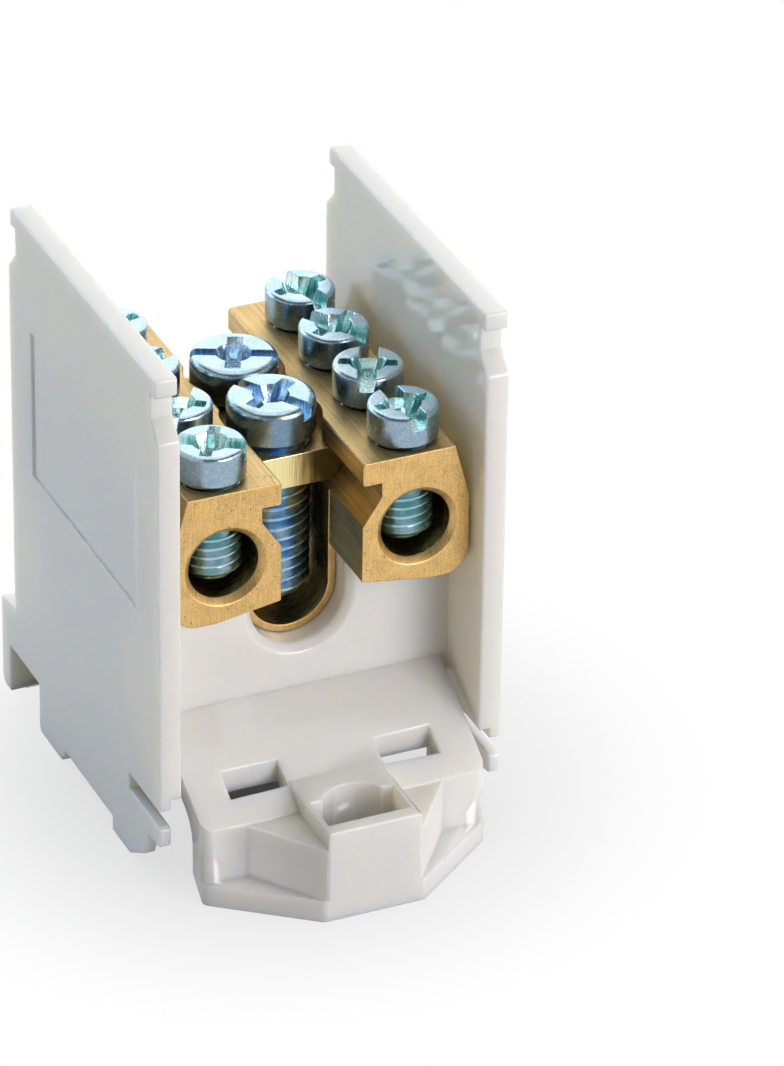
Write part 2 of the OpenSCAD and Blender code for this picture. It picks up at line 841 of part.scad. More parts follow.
// Rear ramp and leg, with a hook that catches the rail's rear edge
module rear_leg() {
    shoulder_z = leg_z + leg_rise;
    along_x(-wall_u - over, 2 * (wall_u + over))
        difference() {
            polygon([
                [partition_rear_y - over, floor_z - floor_t],
                [partition_rear_y, floor_z - floor_t],
                [leg_y, leg_z - floor_t],
                [leg_y, hook_z],
                [leg_y - hook_reach, hook_z],
                [leg_y - hook_reach + hook_z, 0],
                [leg_end_y, 0],
                [leg_end_y, leg_z],
                [wall_depth, shoulder_z],
                [partition_rear_y, floor_z],
                [partition_rear_y - over, floor_z]
            ]);
            trim_at([leg_end_y, 0], 3, leg_r);
        }
}

module housing() {
    color(white_plastic) in_block() {
        for (side = [0, 1]) mirror([side, 0, 0]) side_wall();
        partition(partition_y);
        translate([0, partition_y + partition_rear_y, 0]) mirror([0, 1, 0]) partition(partition_y);
        floor_plate();
        front_foot();
        rear_leg();
    }
}

housing();
terminal_bar_left();
terminal_bar_right();
clamp_plate();
cable_saddle();
main_screw(0);  // main_screw_front
main_screw(1);  // main_screw_rear
left_screw(0);  // left_screw_1
left_screw(1);  // left_screw_2
left_screw(2);  // left_screw_3
left_screw(3);  // left_screw_4
right_screw(0);  // right_screw_1
right_screw(1);  // right_screw_2
right_screw(2);  // right_screw_3
right_screw(3);  // right_screw_4
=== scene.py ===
"""Single pole distribution block, dressed for rendering.

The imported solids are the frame. Every visible piece is a finished copy of its solid: the
moulded housing has rounded edges, the brass shows sawn ends and drawn sides, and the screws
have rolled threads and stamped driver recesses.
"""

import json
import math
from itertools import combinations

import bmesh
import bpy
import numpy as np
from bpy.props import FloatProperty, FloatVectorProperty, PointerProperty
from mathutils import Matrix, Vector
from mathutils.bvhtree import BVHTree


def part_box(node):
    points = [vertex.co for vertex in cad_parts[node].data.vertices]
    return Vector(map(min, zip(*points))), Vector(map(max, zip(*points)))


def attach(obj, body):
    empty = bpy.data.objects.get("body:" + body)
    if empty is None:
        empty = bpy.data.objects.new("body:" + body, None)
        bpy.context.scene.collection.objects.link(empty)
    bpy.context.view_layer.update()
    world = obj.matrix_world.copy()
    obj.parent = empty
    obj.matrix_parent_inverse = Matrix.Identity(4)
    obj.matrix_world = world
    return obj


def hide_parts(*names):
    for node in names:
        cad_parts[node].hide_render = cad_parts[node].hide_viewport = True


bl_info = {
    "name": "Distribution block",
    "version": (1, 0, 0),
    "blender": (4, 5, 0),
    "location": "3D View > Sidebar > Block",
    "description": "Finishes the pieces of a rail-mounted distribution block and sets its stage",
    "category": "Object",
}

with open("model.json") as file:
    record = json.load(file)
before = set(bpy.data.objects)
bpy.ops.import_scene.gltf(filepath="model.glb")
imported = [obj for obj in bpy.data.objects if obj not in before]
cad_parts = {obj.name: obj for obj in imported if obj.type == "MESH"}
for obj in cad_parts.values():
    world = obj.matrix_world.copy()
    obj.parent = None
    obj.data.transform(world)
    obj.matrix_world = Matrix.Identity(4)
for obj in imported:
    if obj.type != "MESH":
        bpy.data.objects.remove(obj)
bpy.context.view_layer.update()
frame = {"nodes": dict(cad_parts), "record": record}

MM = 0.001
IMAGE_HEIGHT_PX = 1066
SENSOR_MM = 36.0
FLOOR_REACH = 3.0

# What counts as one point, a flat face, an edge, an outer edge, a sharp edge and a straight run
MERGE_DISTANCE = 0.002 * MM
FLAT_ANGLE = math.radians(0.3)
CREASE_ANGLE = math.radians(2)
EDGE_ANGLE = math.radians(25)
SHADING_ANGLE = math.radians(28)
RUN_ON_ANGLE = math.radians(30)

# How edges are rounded, and where along an edge others are looked for beside it
SMALLEST_RADIUS = 0.1 * MM
ROOM_SHARE = 0.4
EDGE_SEGMENTS = 4
ALONG_EDGE = (0.1, 0.5, 0.9)
BESIDE_COSINE = 0.5

# How far the finishes of the brass reach from the ends, round the bores and in the saddle
SAWN_REACH = 2.5 * MM
BORE_MARGIN = 0.3 * MM
SADDLE_REACH = 15 * MM

# How the screws are measured, the faces of their heads told apart and their threads made
MEASURE_MARGIN = 0.05 * MM
TIP_HEIGHT = 0.1 * MM
RECESS_MARGIN = 0.5 * MM
FACING_MARGIN = 0.1 * MM
LEVEL_FACE = 0.8
STEEP_FACE = 0.3
THREAD_OVERLAP = 0.25 * MM
THREAD_STEPS = 36
DEPTH_TO_PITCH = 0.6

BODY_OF = {node: body for body, nodes in frame["record"]["behaviour"]["bodies"].items() for node in nodes}
MOUNTS = {mount["name"]: mount for mount in frame["record"]["mounts"]}
# Each bar and the wire entry at its front end
BARS = {
    "terminal_bar_left": "wire_entry_left_front",
    "terminal_bar_right": "wire_entry_right_front",
}
MAIN_SCREWS = ("main_screw_front", "main_screw_rear")
WIRE_SCREWS = tuple(sorted(node for node in BODY_OF if "_screw_" in node and node not in MAIN_SCREWS))


# Shader building


class Value:
    """One output of a node, for use in expressions."""

    def __init__(self, nodes, socket):
        self.nodes = nodes
        self.socket = socket

    def math(self, operation, first, second):
        return self.nodes.node("ShaderNodeMath", {"operation": operation}, {0: first, 1: second})

    def __add__(self, other):
        return self.math("ADD", self, other)

    def __radd__(self, other):
        return self.math("ADD", other, self)

    def __sub__(self, other):
        return self.math("SUBTRACT", self, other)

    def __rsub__(self, other):
        return self.math("SUBTRACT", other, self)

    def __mul__(self, other):
        return self.math("MULTIPLY", self, other)

    def __rmul__(self, other):
        return self.math("MULTIPLY", other, self)


class Nodes:
    """Adds nodes to a tree and links them."""

    def __init__(self, tree):
        self.tree = tree

    def node(self, kind, settings, sockets, output=0):
        """Adds a node: its settings first, then the values or links of its sockets."""
        made = self.tree.nodes.new(kind)
        for key, value in settings.items():
            setattr(made, key, value)
        for key, value in sockets.items():
            self.feed(made.inputs[key], value)
        return Value(self, made.outputs[output])

    def feed(self, socket, value):
        """Links a value to a socket, or sets the socket to a plain number or colour."""
        if isinstance(value, Value):
            self.tree.links.new(value.socket, socket)
        else:
            socket.default_value = value

    def ramp(self, value, low, high):
        """Rises from 0 to 1 as value goes from low to high."""
        return self.node(
            "ShaderNodeMapRange",
            {"interpolation_type": "SMOOTHSTEP"},
            {"Value": value, "From Min": low, "From Max": high},
        )

    def mix(self, factor, low, high):
        """Blends two colours, by the numbers of a Mix node's colour sockets."""
        return self.node("ShaderNodeMix", {"data_type": "RGBA"}, {0: factor, 6: low, 7: high}, 2)

    def place(self, kind="Object"):
        """Texture coordinates, from the piece's own axes or of another kind."""
        return self.node("ShaderNodeTexCoord", {}, {}, kind)

    def part_of(self, vector, axis):
        """X, Y or Z of a vector."""
        return self.node("ShaderNodeSeparateXYZ", {}, {0: vector}, axis)


class Finish(Nodes):
    """A material and the nodes that feed its principled shader."""

    def __init__(self, name, constants):
        self.material = bpy.data.materials.new(name)
        self.material.use_nodes = True
        super().__init__(self.material.node_tree)
        self.shader = self.tree.nodes["Principled BSDF"]
        for socket, value in constants.items():
            self.shader.inputs[socket].default_value = value

    def varies(self, **sockets):
        """Links what changes over the surface to the principled shader."""
        names = {"colour": "Base Color", "roughness": "Roughness", "normal": "Normal"}
        for key, value in sockets.items():
            self.feed(self.shader.inputs[names[key]], value)

    def noise(self, per_mm, detail=3.0, roughness=0.5):
        """Noise from 0 to 1, with so many features to a millimetre along X, Y and Z."""
        scaled = self.node(
            "ShaderNodeMapping",
            {"vector_type": "POINT"},
            {"Vector": self.place(), "Scale": [n / MM for n in per_mm]},
        )
        return self.node(
            "ShaderNodeTexNoise",
            {},
            {"Vector": scaled, "Scale": 1.0, "Detail": detail, "Roughness": roughness},
        )

    def bump(self, height, depth_mm):
        """Normal of a surface whose relief is depth_mm deep where height goes from 0 to 1."""
        relief = {"Height": height, "Distance": depth_mm * MM, "Strength": 1.0}
        return self.node("ShaderNodeBump", {}, relief)


def rgba(colour):
    """A colour that lets nothing through."""
    return (*colour, 1.0)


def shade(colour, times):
    """A lighter or darker tone of a colour."""
    return (*[min(1.0, c * times) for c in colour], 1.0)


# Settings


class PlasticSettings(bpy.types.PropertyGroup):
    """The moulded housing."""

    colour: FloatVectorProperty(
        name="Plastic",
        description="Colour of the housing",
        subtype="COLOR",
        default=(0.815, 0.808, 0.77),
    )
    edge_radius: FloatProperty(
        name="Edge radius",
        description="Rounding of the housing's edges",
        subtype="DISTANCE",
        default=0.28 * MM,
    )


class BrassSettings(bpy.types.PropertyGroup):
    """The bars, the clamp plate and the saddle."""

    sawn: FloatVectorProperty(
        name="Sawn brass",
        description="Colour of the sawn ends",
        subtype="COLOR",
        default=(0.655, 0.435, 0.172),
    )
    drawn: FloatVectorProperty(
        name="Drawn brass",
        description="Colour of the drawn sides",
        subtype="COLOR",
        default=(0.60, 0.43, 0.19),
    )
    milled: FloatVectorProperty(
        name="Milled brass",
        description="Colour of the clamp plate's ends",
        subtype="COLOR",
        default=(1.0, 0.84, 0.43),
    )
    edge_radius: FloatProperty(
        name="Edge radius",
        description="Rounding of the brass edges",
        subtype="DISTANCE",
        default=0.14 * MM,
    )


class ScrewSettings(bpy.types.PropertyGroup):
    """The zinc plated screws."""

    zinc: FloatVectorProperty(
        name="Zinc",
        description="Colour of the plating",
        subtype="COLOR",
        default=(0.47, 0.60, 0.66),
    )
    # The sides of the heads take darker copies of the zinc, painted shade, darker still on the large heads.
    wire_side: FloatVectorProperty(
        name="Wire screw side",
        description="Colour round the small heads",
        subtype="COLOR",
        default=(0.32, 0.42, 0.49),
    )
    main_side: FloatVectorProperty(
        name="Main screw side",
        description="Colour round the large heads",
        subtype="COLOR",
        default=(0.20, 0.29, 0.38),
    )
    wire_tint: FloatVectorProperty(
        name="Wire screw tint",
        description="Tint in the small recesses",
        subtype="COLOR",
        default=(0.42, 0.74, 0.74),
    )
    main_tint: FloatVectorProperty(
        name="Main screw tint",
        description="Tint in the large recesses",
        subtype="COLOR",
        default=(0.44, 0.68, 0.90),
    )
    wire_thread: FloatVectorProperty(
        name="Wire screw thread",
        description="Tint of the small threads",
        subtype="COLOR",
        default=(0.26, 0.47, 0.52),
    )
    main_thread: FloatVectorProperty(
        name="Main screw thread",
        description="Tint of the large threads",
        subtype="COLOR",
        default=(0.18, 0.37, 0.62),
    )
    wire_pitch: FloatProperty(
        name="Wire screw pitch",
        description="Thread pitch of the small screws",
        subtype="DISTANCE",
        default=1.25 * MM,
    )
    main_pitch: FloatProperty(
        name="Main screw pitch",
        description="Thread pitch of the large screws",
        subtype="DISTANCE",
        default=1.5 * MM,
    )
    edge_radius: FloatProperty(
        name="Edge radius",
        description="Rounding of the heads' edges",
        subtype="DISTANCE",
        default=0.07 * MM,
    )


class StageSettings(bpy.types.PropertyGroup):
    """The camera, the floor and the surroundings."""

    azimuth: FloatProperty(
        name="Azimuth",
        description="Camera's turn round the block",
        subtype="ANGLE",
        default=math.radians(-24.216),
    )
    elevation: FloatProperty(
        name="Elevation",
        description="Camera's height angle",
        subtype="ANGLE",
        default=math.radians(30.733),
    )
    roll: FloatProperty(
        name="Roll",
        description="Camera's turn about its own axis",
        subtype="ANGLE",
        default=math.radians(0.837),
    )
    distance: FloatProperty(
        name="Distance",
        description="From the camera to its target",
        subtype="DISTANCE",
        default=0.86536,
    )
    target: FloatVectorProperty(
        name="Target",
        description="Point in the middle of the image",
        subtype="XYZ",
        default=(0.01904, 0.0045, 0.02926),
    )
    focal_px: FloatProperty(
        name="Focal length",
        description="Focal length in pixels of the image's height",
        subtype="PIXEL",
        default=6760.2,
    )
    floor: FloatVectorProperty(
        name="Floor",
        description="Colour of the floor",
        subtype="COLOR",
        default=(0.42, 0.42, 0.42),
    )
    floor_shade: FloatProperty(
        name="Floor shade",
        description="Share of the floor's own shade that shows close to the block",
        subtype="FACTOR",
        default=0.3,
    )
    shade_reach: FloatVectorProperty(
        name="Shade reach",
        description="Where that shade starts and ends to fade to white",
        subtype="XYZ_LENGTH",
        size=2,
        default=(0.02, 0.06),
    )
    horizon: FloatVectorProperty(
        name="Horizon",
        description="Colour of the surroundings",
        subtype="COLOR",
        default=(0.26, 0.27, 0.28),
    )
    zenith: FloatVectorProperty(
        name="Zenith",
        description="Colour overhead",
        subtype="COLOR",
        default=(0.08, 0.08, 0.08),
    )


# Mesh helpers


def merged_copy(node):
    """A copy of a solid with its loose triangles joined and its flat faces whole."""
    bm = bmesh.new()
    bm.from_mesh(frame["nodes"][node].data)
    bmesh.ops.remove_doubles(bm, verts=bm.verts, dist=MERGE_DISTANCE)
    bmesh.ops.dissolve_limit(bm, angle_limit=FLAT_ANGLE, verts=bm.verts, edges=bm.edges)
    return bm


def edge_lines(edges):
    """Start, run and corner numbers of edges, as arrays."""
    ends = np.array([[v.co for v in e.verts] for e in edges])
    corners = np.array([[v.index for v in e.verts] for e in edges])
    return ends[:, 0], ends[:, 1] - ends[:, 0], corners


def nearest_beside(edges, others):
    """For each edge, the distance to the nearest other edge that runs beside it."""
    start, run, corners = edge_lines(edges)
    other_start, other_run, other_corners = edge_lines(others)
    along = run / np.linalg.norm(run, axis=1)[:, None]
    square = (other_run**2).sum(1)
    shared = (corners[:, None, :, None] == other_corners[None, :, None, :]).any((2, 3))
    nearest = np.full(len(edges), np.inf)
    for share in ALONG_EDGE:
        gap = (start + share * run)[:, None] - other_start
        reach = np.clip((gap * other_run).sum(2) / square, 0, 1)
        gap -= reach[..., None] * other_run
        distance = np.linalg.norm(gap, axis=2)
        sideways = np.abs((gap * along[:, None]).sum(2)) < BESIDE_COSINE * distance
        distance[shared | ~sideways] = np.inf
        nearest = np.minimum(nearest, distance.min(1))
    return nearest


def run_on(vert, first, second):
    """Whether one edge carries on where the other ends, with only a slight turn."""
    one = first.other_vert(vert).co - vert.co
    other = second.other_vert(vert).co - vert.co
    return one.angle(-other) < RUN_ON_ANGLE


def weigh_edges(bm, radius):
    """Marks the outer edges for rounding, less where other edges lie close beside them."""
    weight = bm.edges.layers.float.new("bevel_weight_edge")
    bm.verts.index_update()
    creases = [e for e in bm.edges if e.calc_face_angle() > CREASE_ANGLE]
    edges = [e for e in creases if e.is_convex and e.calc_face_angle() > EDGE_ANGLE]
    for edge, gap in zip(edges, nearest_beside(edges, creases)):
        room = ROOM_SHARE * gap
        if room > min(radius, SMALLEST_RADIUS):
            edge[weight] = min(1.0, room / radius)
    joints = []
    for vert in bm.verts:
        rounded = [e for e in vert.link_edges if e[weight] > 0]
        joints += [pair for pair in combinations(rounded, 2) if run_on(vert, *pair)]
    while any(first[weight] != second[weight] for first, second in joints):
        for first, second in joints:
            first[weight] = second[weight] = min(first[weight], second[weight])


def rounded_mesh(bm, name, radius):
    """The mesh with its marked edges rounded, nowhere outside the sharp one."""
    surface = BVHTree.FromBMesh(bm)
    sharp = bpy.data.meshes.new(name + "_sharp")
    bm.to_mesh(sharp)
    bm.free()
    holder = bpy.data.objects.new(name + "_sharp", sharp)
    bpy.context.scene.collection.objects.link(holder)
    rounding = holder.modifiers.new("rounded_edges", "BEVEL")
    rounding.limit_method = "WEIGHT"
    rounding.width = radius
    rounding.segments = EDGE_SEGMENTS
    rounding.profile = 0.5
    rounding.use_clamp_overlap = False
    finished = holder.evaluated_get(bpy.context.evaluated_depsgraph_get())
    mesh = bpy.data.meshes.new_from_object(finished)
    mesh.name = name
    bpy.data.objects.remove(holder)
    bpy.data.meshes.remove(sharp)
    for vert in mesh.vertices:
        place, normal, _, _ = surface.find_nearest(vert.co)
        if (vert.co - place).dot(normal) > 0:
            vert.co = place
    return mesh


def add_piece(bm, name, node, finishes, radius):
    """Makes the finished mesh a piece that stands for a solid and moves with it."""
    mesh = rounded_mesh(bm, name, radius)
    mesh.shade_smooth()
    mesh.set_sharp_from_angle(angle=SHADING_ANGLE)
    for finish in finishes:
        mesh.materials.append(finish)
    piece = bpy.data.objects.new(name, mesh)
    bpy.context.scene.collection.objects.link(piece)
    normals = piece.modifiers.new("flat_faces", "WEIGHTED_NORMAL")
    normals.keep_sharp = True
    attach(piece, BODY_OF[node])
    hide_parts(node)


# Finishes


def white_plastic(settings):
    """Glossy white moulding, a little cloudy, with a faint flow pattern."""
    finish = Finish(
        "white_plastic",
        {
            "IOR": 1.5,
            "Subsurface Weight": 1.0,
            "Subsurface Radius": (1.0, 0.86, 0.5),
            "Subsurface Scale": 3.5 * MM,
        },
    )
    cloud = finish.noise((0.05, 0.05, 0.05), 2.0)
    flow = finish.noise((0.2, 0.2, 0.07), 3.0)
    finish.varies(
        colour=finish.mix(cloud, shade(settings.colour, 0.98), shade(settings.colour, 1.03)),
        roughness=0.05 + 0.06 * flow,
        normal=finish.bump(flow, 0.006),
    )
    return finish.material


def sawn_brass(settings):
    """Bright sawn end of a bar, mottled, with fine upright saw marks and small dark pits."""
    finish = Finish("sawn_brass", {"Metallic": 1.0})
    marks = finish.noise((5.0, 1.0, 0.35), 3.0, 0.6)
    blotch = finish.noise((0.5, 0.5, 0.5), 4.0, 0.6)
    grain = finish.noise((7.0, 7.0, 5.0), 2.0)
    pits = 1.0 - finish.ramp(finish.noise((3.4, 3.4, 2.2), 2.0), 0.25, 0.34)
    mottle = 0.5 * blotch + 0.7 * marks + 0.8 * grain - 0.55
    tone = finish.mix(finish.ramp(mottle, 0.2, 0.7), shade(settings.sawn, 0.8), shade(settings.sawn, 1.2))
    finish.varies(
        colour=finish.mix(0.85 * pits, tone, shade(settings.sawn, 0.22)),
        roughness=0.36 + 0.2 * blotch,
        normal=finish.bump(marks + 0.6 * grain, 0.014),
    )
    return finish.material


def drawn_brass(settings):
    """Dull drawn side of a bar, with streaks along its length and dark specks."""
    finish = Finish("drawn_brass", {"Metallic": 1.0})
    streaks = finish.noise((2.6, 0.05, 2.6), 4.0, 0.6)
    blotch = finish.noise((0.3, 0.12, 0.3), 4.0, 0.6)
    grain = finish.noise((5.0, 3.0, 5.0), 2.0)
    specks = 1.0 - finish.ramp(finish.noise((2.4, 1.6, 2.4), 2.0), 0.26, 0.35)
    wear = 0.7 * streaks + 0.8 * blotch + 0.4 * grain - 0.45
    tone = finish.mix(finish.ramp(wear, 0.1, 0.9), shade(settings.drawn, 0.66), shade(settings.drawn, 1.34))
    finish.varies(
        colour=finish.mix(0.8 * specks, tone, shade(settings.drawn, 0.22)),
        roughness=0.36 + 0.18 * blotch,
        normal=finish.bump(streaks + 0.5 * grain, 0.01),
    )
    return finish.material


def drilled_brass(settings):
    """Inside of a bore or of the saddle, darkened with painted shade, with fine rings round it."""
    finish = Finish("drilled_brass", {"Metallic": 1.0})
    rings = finish.noise((0.3, 4.0, 0.3), 3.0)
    finish.varies(
        # Painted shade: a darker brass for the shade inside the hollow; the rings are the surface's own
        # marks.
        colour=finish.mix(rings, shade(settings.drawn, 0.55), shade(settings.drawn, 1.1)),
        roughness=0.2 + 0.15 * rings,
        normal=finish.bump(rings, 0.012),
    )
    return finish.material


def milled_brass(settings):
    """Bright milled end of the clamp plate, with upright tool marks, and painted shade darkening it towards
    its right.
    """
    finish = Finish("milled_brass", {"Metallic": 1.0})
    marks = finish.noise((2.4, 1.0, 0.12), 3.0, 0.6)
    across = finish.part_of(finish.place(), "X")
    # Painted shade: the end turns dark towards its right.
    painted_right_shade = finish.ramp(across + 5 * MM * marks, 3.0 * MM, 6.5 * MM)
    tone = finish.mix(marks, shade(settings.milled, 0.8), shade(settings.milled, 1.08))
    finish.varies(
        colour=finish.mix(painted_right_shade, tone, shade(settings.milled, 0.13)),
        roughness=0.12 + 0.2 * marks,
        normal=finish.bump(marks, 0.02),
    )
    return finish.material


def zinc_plate(name, colour):
    """Bright zinc plating, softly mottled, with bands of blue."""
    finish = Finish(name, {"Metallic": 1.0})
    bands = finish.noise((0.45, 0.45, 0.9), 2.0)
    grain = finish.noise((3.5, 3.5, 3.5), 3.0)
    blue = rgba([colour[0] * 0.78, colour[1] * 0.9, colour[2]])
    tone = finish.mix(finish.ramp(bands, 0.3, 0.7), rgba(colour), blue)
    finish.varies(
        colour=finish.mix(0.35 * finish.ramp(grain, 0.45, 0.65), tone, shade(colour, 1.5)),
        roughness=0.2 + 0.14 * bands,
        normal=finish.bump(grain, 0.012),
    )
    return finish.material


def stamped_recess(name, tint):
    """Stamped driver recess with fine upright ribs, where the passivation shows its colour, and pale
    streaks painted on as highlights along the ribs.
    """
    finish = Finish(name, {"Metallic": 1.0})
    ribs = finish.noise((3.0, 3.0, 0.2), 2.0)
    cloud = finish.noise((0.8, 0.8, 0.8), 2.0)
    # Painted highlight: pale streaks, mostly along the ribs.
    pale = rgba([0.6 + 0.4 * part for part in tint])
    finish.varies(
        colour=finish.mix(finish.ramp(0.6 * ribs + 0.4 * cloud, 0.4, 0.62), rgba(tint), pale),
        roughness=0.14 + 0.08 * cloud,
        normal=finish.bump(ribs, 0.05),
    )
    return finish.material


def rolled_thread(name, zinc, tint):
    """Rolled thread, plated like the heads, with bands of the passivation colour."""
    finish = Finish(name, {"Metallic": 1.0})
    bands = finish.noise((0.35, 0.35, 0.35), 2.0)
    finish.varies(
        colour=finish.mix(finish.ramp(bands, 0.35, 0.65), rgba(zinc), rgba(tint)),
        roughness=0.2 + 0.1 * bands,
    )
    return finish.material


# Pieces


class BLOCK_OT_housing(bpy.types.Operator):
    """Rounds the edges of the moulded housing"""

    bl_idname = "block.housing"
    bl_label = "Housing"

    def execute(self, context):
        settings = context.scene.block_plastic
        bm = merged_copy("housing")
        weigh_edges(bm, settings.edge_radius)
        finishes = [white_plastic(settings)]
        add_piece(bm, "housing_moulding", "housing", finishes, settings.edge_radius)
        return {"FINISHED"}


def mark_inside(bm, mount, reach):
    """Gives the faces within reach that look in on a mount's axis the third finish, the painted shade of a
    hollow.
    """
    for face in bm.faces:
        out = face.calc_center_median() - Vector(mount["pos_m"])
        out.y = 0
        if out.length < reach and out.dot(face.normal) < 0:
            face.material_index = 2


def mark_sawn_ends(bm, low, high):
    """Gives the faces at both ends of a length, and the chamfers there, the second finish."""
    for face in bm.faces:
        places = [v.co.y for v in face.verts]
        if max(places) < low.y + SAWN_REACH or min(places) > high.y - SAWN_REACH:
            face.material_index = 1


def add_brass_piece(bm, node, finishes, radius):
    """A brass piece with rounded edges and the second finish at its ends."""
    weigh_edges(bm, radius)
    mark_sawn_ends(bm, *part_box(node))
    add_piece(bm, node + "_brass", node, finishes, radius)


class BLOCK_OT_bars(bpy.types.Operator):
    """Finishes the two brass terminal bars"""

    bl_idname = "block.bars"
    bl_label = "Terminal bars"

    def execute(self, context):
        settings = context.scene.block_brass
        finishes = [drawn_brass(settings), sawn_brass(settings), drilled_brass(settings)]
        for node, entry in BARS.items():
            bm = merged_copy(node)
            # The inside of the bore gets painted shade.
            mark_inside(bm, MOUNTS[entry], MOUNTS[entry]["dims"]["r_mm"] * MM + BORE_MARGIN)
            add_brass_piece(bm, node, finishes, settings.edge_radius)
        return {"FINISHED"}


class BLOCK_OT_clamp(bpy.types.Operator):
    """Finishes the clamp plate and the saddle under it"""

    bl_idname = "block.clamp"
    bl_label = "Clamp plate and saddle"

    def execute(self, context):
        settings = context.scene.block_brass
        materials = bpy.data.materials
        drawn = materials["drawn_brass"]
        plate = merged_copy("clamp_plate")
        add_brass_piece(plate, "clamp_plate", [drawn, milled_brass(settings)], settings.edge_radius)
        saddle = merged_copy("cable_saddle")
        # The inside of the saddle gets the same painted shade.
        mark_inside(saddle, MOUNTS["main_cable_front"], SADDLE_REACH)
        finishes = [drawn, materials["sawn_brass"], materials["drilled_brass"]]
        add_brass_piece(saddle, "cable_saddle", finishes, settings.edge_radius)
        return {"FINISHED"}


def screw_measures(node):
    """Axis, shank radius, tip radius and head underside of a screw, measured on its solid."""
    low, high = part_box(node)
    axis = Vector(((low.x + high.x) / 2, (low.y + high.y) / 2, 0))
    points = [v.co for v in frame["nodes"][node].data.vertices]
    rings = [((point - axis).xy.length, point.z) for point in points]
    radius = max(out for out, z in rings if z < (low.z + high.z) / 2)
    tip_radius = max(out for out, z in rings if z < low.z + TIP_HEIGHT)
    underside = min(z for out, z in rings if out > radius + MEASURE_MARGIN)
    return axis, radius, tip_radius, underside


def cut_level(bm, height, side):
    """Takes off what lies above a height, or below it where side is -1, and closes the cut."""
    cut = bmesh.ops.bisect_plane(
        bm,
        geom=bm.verts[:] + bm.edges[:] + bm.faces[:],
        plane_co=(0, 0, height),
        plane_no=(0, 0, side),
        clear_outer=True,
    )
    rim = [e for e in cut["geom_cut"] if isinstance(e, bmesh.types.BMEdge)]
    bmesh.ops.contextual_create(bm, geom=rim)


def threaded_shank(axis, radius, tip_radius, pitch, low, high):
    """A closed thread about an upright axis, from its chamfered tip at low up to high."""
    turns = math.ceil((high - low) / pitch) + 2
    root = radius - DEPTH_TO_PITCH * pitch
    # Radius and share of the pitch at each corner of one turn: root, flank, crest and flank
    profile = [(root, 0), (root, 0.12), (radius, 0.46), (radius, 0.66), (root, 1)]
    bm = bmesh.new()
    points = [bm.verts.new((axis.x + r, axis.y, low - pitch + share * pitch)) for r, share in profile]
    edges = [bm.edges.new(pair) for pair in zip(points, points[1:])]
    bmesh.ops.spin(
        bm,
        geom=points + edges,
        cent=axis,
        axis=(0, 0, 1),
        dvec=(0, 0, pitch / THREAD_STEPS),
        angle=2 * math.pi * turns,
        steps=THREAD_STEPS * turns,
        use_merge=False,
    )
    bmesh.ops.remove_doubles(bm, verts=bm.verts, dist=MERGE_DISTANCE)
    cut_level(bm, low, -1)
    cut_level(bm, high, 1)
    for vert in bm.verts:
        out = (vert.co - axis).xy
        room = tip_radius + vert.co.z - low
        if out.length > room:
            vert.co.xy = axis.xy + out * (room / out.length)
    bmesh.ops.recalc_face_normals(bm, faces=bm.faces)
    return bm


def screw_head(node, underside, radius):
    """The head of a screw, cut off its shank and closed, with its edges marked for rounding."""
    bm = merged_copy(node)
    cut_level(bm, underside, -1)
    weigh_edges(bm, radius)
    return bm


class BLOCK_OT_screws(bpy.types.Operator):
    """Makes the plated screws with their recesses and threads"""

    bl_idname = "block.screws"
    bl_label = "Screws"

    def execute(self, context):
        settings = context.scene.block_screws
        top = zinc_plate("zinc_plate", settings.zinc)
        for kind, nodes in (("wire", WIRE_SCREWS), ("main", MAIN_SCREWS)):
            finishes = [
                top,
                stamped_recess(kind + "_recess", getattr(settings, kind + "_tint")),
                rolled_thread(kind + "_thread", settings.zinc, getattr(settings, kind + "_thread")),
                # Steep sides of the heads: a darker copy of the zinc, painted shade.
                zinc_plate(kind + "_side", getattr(settings, kind + "_side")),
            ]
            for node in nodes:
                self.make_screw(node, getattr(settings, kind + "_pitch"), settings.edge_radius, finishes)
        return {"FINISHED"}

    def make_screw(self, node, pitch, edge_radius, finishes):
        """The head of a screw's solid on a threaded shank that reaches a little way into it."""
        low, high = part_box(node)
        axis, radius, tip_radius, underside = screw_measures(node)
        bm = screw_head(node, underside + MEASURE_MARGIN, edge_radius)
        for face in bm.faces:
            out = face.calc_center_median() - axis
            facing_in = out.x * face.normal.x + out.y * face.normal.y < -FACING_MARGIN
            floor = face.normal.z > LEVEL_FACE and out.z < high.z - RECESS_MARGIN
            if (facing_in or floor) and out.z > underside + RECESS_MARGIN:
                face.material_index = 1
            # Steep faces get the side finish, which paints shade on the heads' sides.
            elif face.normal.z < STEEP_FACE:
                face.material_index = 3
        thread = threaded_shank(axis, radius, tip_radius, pitch, low.z, underside + THREAD_OVERLAP)
        for face in thread.faces:
            face.material_index = 2
        shank = bpy.data.meshes.new("shank")
        thread.to_mesh(shank)
        thread.free()
        bm.from_mesh(shank)
        bpy.data.meshes.remove(shank)
        add_piece(bm, node + "_plated", node, finishes, edge_radius)


# Stage


def camera_axes(settings):
    """Right, up and back directions of the camera."""
    flat = math.cos(settings.elevation)
    back = Vector(
        (
            math.sin(settings.azimuth) * flat,
            -math.cos(settings.azimuth) * flat,
            math.sin(settings.elevation),
        )
    )
    level = Vector((0, 0, 1)).cross(back).normalized()
    rise = back.cross(level)
    turn = settings.roll
    right = math.cos(turn) * level + math.sin(turn) * rise
    up = math.cos(turn) * rise - math.sin(turn) * level
    return right, up, back


